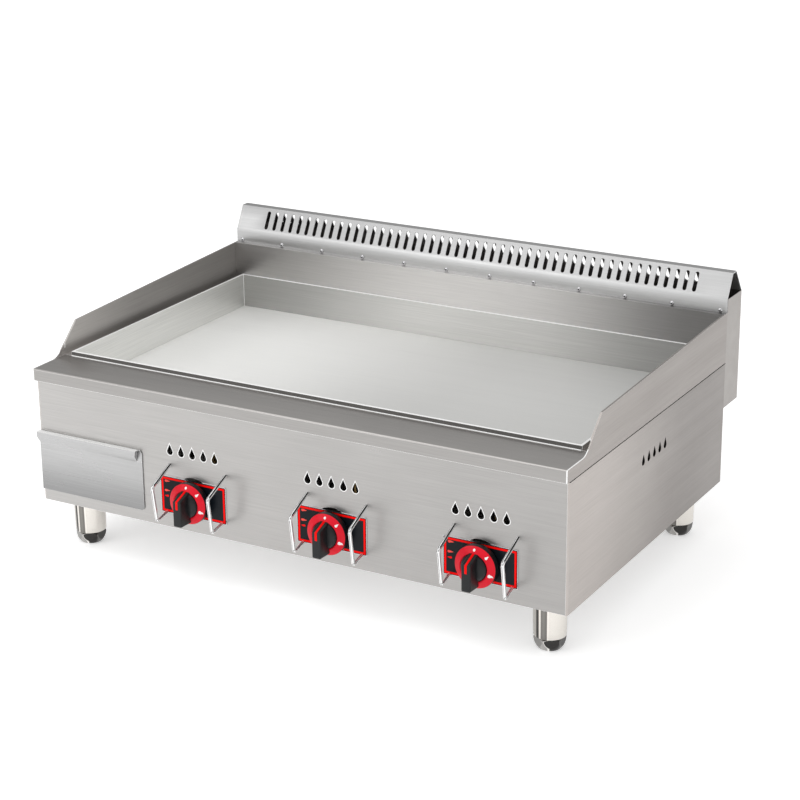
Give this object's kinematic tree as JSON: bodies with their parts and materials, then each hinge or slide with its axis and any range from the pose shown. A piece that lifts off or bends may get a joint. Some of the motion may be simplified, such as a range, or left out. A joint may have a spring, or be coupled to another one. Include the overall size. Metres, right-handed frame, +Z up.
{
  "type": "flat top griddle",
  "caption": "Countertop flat top gas griddle with a walled plate, splash guards, turn-and-push knobs, wire knob guards, slide-out grease drawer, slotted rear flue hood and screw feet.",
  "frame": {"origin": "middle of the bounding box's bottom, on the floor under the griddle", "axes": "+X from left to right seen from the front, +Y from the front to the back, +Z up"},
  "size_m": [0.9, 0.6718, 0.4165],
  "materials": {
    "base_pan": "brushed stainless steel sheet",
    "left_side_panel": "brushed stainless steel sheet",
    "right_side_panel": "brushed stainless steel sheet",
    "front_panel": "brushed stainless steel sheet",
    "back_panel": "brushed stainless steel sheet",
    "top_seal": "black seal strip",
    "front_ledge": "brushed stainless steel sheet",
    "left_splash": "brushed stainless steel sheet",
    "right_splash": "brushed stainless steel sheet",
    "back_splash": "brushed stainless steel sheet",
    "griddle_plate": "ground steel cooking plate",
    "griddle_walls": "ground steel bars, welded",
    "flue_box": "brushed stainless steel sheet",
    "vent_hood": "brushed stainless steel sheet",
    "hood_screws": "plated pan-head screws",
    "heat_shield": "mill-finish aluminised sheet",
    "burner_left": "cast burner, heat-dulled",
    "burner_middle": "cast burner, heat-dulled",
    "burner_right": "cast burner, heat-dulled",
    "burner_rails": "mill-finish aluminised sheet",
    "gas_manifold": "machined brass",
    "gas_inlet": "machined brass",
    "tap_body_1": "machined brass",
    "tap_body_2": "machined brass",
    "tap_body_3": "machined brass",
    "tap_plug_1": "machined brass",
    "tap_plug_2": "machined brass",
    "tap_plug_3": "machined brass",
    "tap_spindle_1": "turned steel",
    "tap_spindle_2": "turned steel",
    "tap_spindle_3": "turned steel",
    "tap_spring_1": "turned steel",
    "tap_spring_2": "turned steel",
    "tap_spring_3": "turned steel",
    "injectors": "machined brass",
    "pilot_burners": "cast burner, heat-dulled",
    "knob_dial_1": "moulded red dial ring",
    "knob_dial_2": "moulded red dial ring",
    "knob_dial_3": "moulded red dial ring",
    "knob_grip_1": "moulded black knob with a red pointer",
    "knob_grip_2": "moulded black knob with a red pointer",
    "knob_grip_3": "moulded black knob with a red pointer",
    "label_plate_1": "black label plate with a red border",
    "label_plate_2": "black label plate with a red border",
    "label_plate_3": "black label plate with a red border",
    "knob_guards_1": "bright plated wire",
    "knob_guards_2": "bright plated wire",
    "knob_guards_3": "bright plated wire",
    "drawer_front": "brushed stainless steel sheet",
    "drawer_tray": "brushed stainless steel sheet",
    "drawer_runners": "brushed stainless steel sheet",
    "grease_chute": "brushed stainless steel sheet",
    "leg_front_left": "polished steel tube",
    "leg_front_right": "polished steel tube",
    "leg_rear_left": "polished steel tube",
    "leg_rear_right": "polished steel tube",
    "foot_front_left": "polished hexagonal foot",
    "foot_front_right": "polished hexagonal foot",
    "foot_rear_left": "polished hexagonal foot",
    "foot_rear_right": "polished hexagonal foot"
  },
  "bodies": {
    "cabinet": {"base_pan": "base_pan", "left_side_panel": "left_side_panel", "right_side_panel": "right_side_panel", "front_panel": "front_panel", "back_panel": "back_panel", "top_seal": "top_seal", "front_ledge": "front_ledge", "left_splash": "left_splash", "right_splash": "right_splash", "back_splash": "back_splash", "griddle_plate": "griddle_plate", "griddle_walls": "griddle_walls", "flue_box": "flue_box", "vent_hood": "vent_hood", "hood_screws": "hood_screws", "heat_shield": "heat_shield", "burner_left": "burner_left", "burner_middle": "burner_middle", "burner_right": "burner_right", "burner_rails": "burner_rails", "gas_manifold": "gas_manifold", "gas_inlet": "gas_inlet", "tap_body_1": "tap_body_1", "tap_body_2": "tap_body_2", "tap_body_3": "tap_body_3", "injectors": "injectors", "pilot_burners": "pilot_burners", "label_plate_1": "label_plate_1", "label_plate_2": "label_plate_2", "label_plate_3": "label_plate_3", "knob_guards_1": "knob_guards_1", "knob_guards_2": "knob_guards_2", "knob_guards_3": "knob_guards_3", "drawer_runners": "drawer_runners", "grease_chute": "grease_chute", "leg_front_left": "leg_front_left", "leg_front_right": "leg_front_right", "leg_rear_left": "leg_rear_left", "leg_rear_right": "leg_rear_right"},
    "drawer": {"drawer_front": "drawer_front", "drawer_tray": "drawer_tray"},
    "tap_1": {"tap_plug_1": "tap_plug_1", "tap_spring_1": "tap_spring_1"},
    "knob_1": {"tap_spindle_1": "tap_spindle_1", "knob_dial_1": "knob_dial_1", "knob_grip_1": "knob_grip_1"},
    "tap_2": {"tap_plug_2": "tap_plug_2", "tap_spring_2": "tap_spring_2"},
    "knob_2": {"tap_spindle_2": "tap_spindle_2", "knob_dial_2": "knob_dial_2", "knob_grip_2": "knob_grip_2"},
    "tap_3": {"tap_plug_3": "tap_plug_3", "tap_spring_3": "tap_spring_3"},
    "knob_3": {"tap_spindle_3": "tap_spindle_3", "knob_dial_3": "knob_dial_3", "knob_grip_3": "knob_grip_3"},
    "foot_front_left_body": {"foot_front_left": "foot_front_left"},
    "foot_front_right_body": {"foot_front_right": "foot_front_right"},
    "foot_rear_left_body": {"foot_rear_left": "foot_rear_left"},
    "foot_rear_right_body": {"foot_rear_right": "foot_rear_right"}
  },
  "joints": [
    {"name": "drawer_slide", "type": "slide", "parent": "cabinet", "child": "drawer", "axis": [0, -1, 0], "range_m": [0, 0.36]},
    {"name": "tap_turn_1", "type": "hinge", "parent": "cabinet", "child": "tap_1", "pos_m": [-0.166, -0.2866, 0.13], "axis": [0, -1, 0], "range_deg": [0, 190]},
    {"name": "knob_push_1", "type": "slide", "parent": "tap_1", "child": "knob_1", "axis": [0, 1, 0], "range_m": [0, 0.004], "stiffness_N_per_m": 1500, "springref_m": -0.003, "deforming": ["tap_spring_1"]},
    {"name": "tap_turn_2", "type": "hinge", "parent": "cabinet", "child": "tap_2", "pos_m": [0.075, -0.2866, 0.13], "axis": [0, -1, 0], "range_deg": [0, 190]},
    {"name": "knob_push_2", "type": "slide", "parent": "tap_2", "child": "knob_2", "axis": [0, 1, 0], "range_m": [0, 0.004], "stiffness_N_per_m": 1500, "springref_m": -0.003, "deforming": ["tap_spring_2"]},
    {"name": "tap_turn_3", "type": "hinge", "parent": "cabinet", "child": "tap_3", "pos_m": [0.316, -0.2866, 0.13], "axis": [0, -1, 0], "range_deg": [0, 190]},
    {"name": "knob_push_3", "type": "slide", "parent": "tap_3", "child": "knob_3", "axis": [0, 1, 0], "range_m": [0, 0.004], "stiffness_N_per_m": 1500, "springref_m": -0.003, "deforming": ["tap_spring_3"]},
    {"name": "foot_screw_front_left", "type": "slide", "parent": "cabinet", "child": "foot_front_left_body", "axis": [0, 0, -1], "range_m": [0, 0.025]},
    {"name": "foot_screw_front_right", "type": "slide", "parent": "cabinet", "child": "foot_front_right_body", "axis": [0, 0, -1], "range_m": [0, 0.025]},
    {"name": "foot_screw_rear_left", "type": "slide", "parent": "cabinet", "child": "foot_rear_left_body", "axis": [0, 0, -1], "range_m": [0, 0.025]},
    {"name": "foot_screw_rear_right", "type": "slide", "parent": "cabinet", "child": "foot_rear_right_body", "axis": [0, 0, -1], "range_m": [0, 0.025]}
  ]
}
